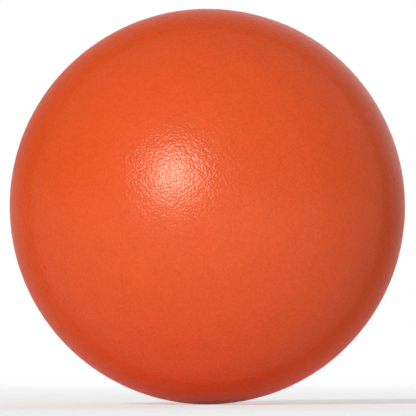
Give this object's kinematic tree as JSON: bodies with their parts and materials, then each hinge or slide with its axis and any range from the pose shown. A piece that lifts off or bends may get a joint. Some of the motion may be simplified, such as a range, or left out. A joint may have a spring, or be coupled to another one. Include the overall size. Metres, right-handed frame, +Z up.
{
  "type": "dodgeball",
  "caption": "Round coated-foam dodgeball: a soft foam core under a soaked anchor coat and a tough orange elastomer skin with an orange-peel grain, for throwing and catching.",
  "frame": {"origin": "centre of the ball", "axes": "+Z up, away from the seat that the ball rests in; the ball is the same all round, so +X and +Y are free choices"},
  "size_m": [0.178, 0.178, 0.178],
  "materials": {
    "foam": "matte",
    "anchor_coat": "matte",
    "skin": "satin"
  },
  "bodies": {
    "root": {"foam_core": "foam", "anchor_coat": "anchor_coat", "outer_skin": "skin"}
  },
  "joints": []
}
